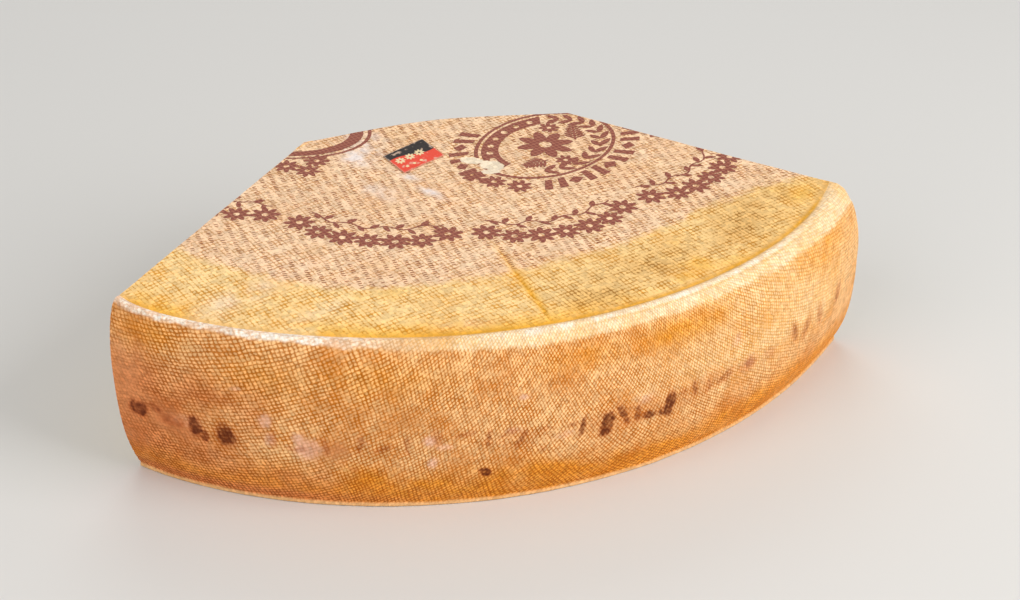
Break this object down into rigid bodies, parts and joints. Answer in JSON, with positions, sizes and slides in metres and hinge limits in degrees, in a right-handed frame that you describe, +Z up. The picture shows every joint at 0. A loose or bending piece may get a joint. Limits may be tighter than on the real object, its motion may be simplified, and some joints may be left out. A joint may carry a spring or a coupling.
{
  "type": "alpine cheese",
  "caption": "Large cut of a round alpine cheese with a cloth-marked golden rind, a printed top, a small label and three knife-cut faces.",
  "frame": {"origin": "centre of the bounding box, at the base", "axes": "+Z up from the base to the printed top, -Y towards the curved rind, +Y towards the cut nose, +X towards the right cut as seen from the rind"},
  "size_m": [0.4246, 0.2553, 0.1002],
  "materials": {
    "rind": "washed cheese rind, golden orange with pale cloth marks, satin",
    "paste": "cut cheese, ivory yellow, slightly waxy",
    "print_ink": "matt maroon food ink on the rind",
    "label_paper": "thin paper label printed red and near black, matt"
  },
  "bodies": {
    "root": {"cheese": "rind", "label": "label_paper"}
  },
  "joints": []
}
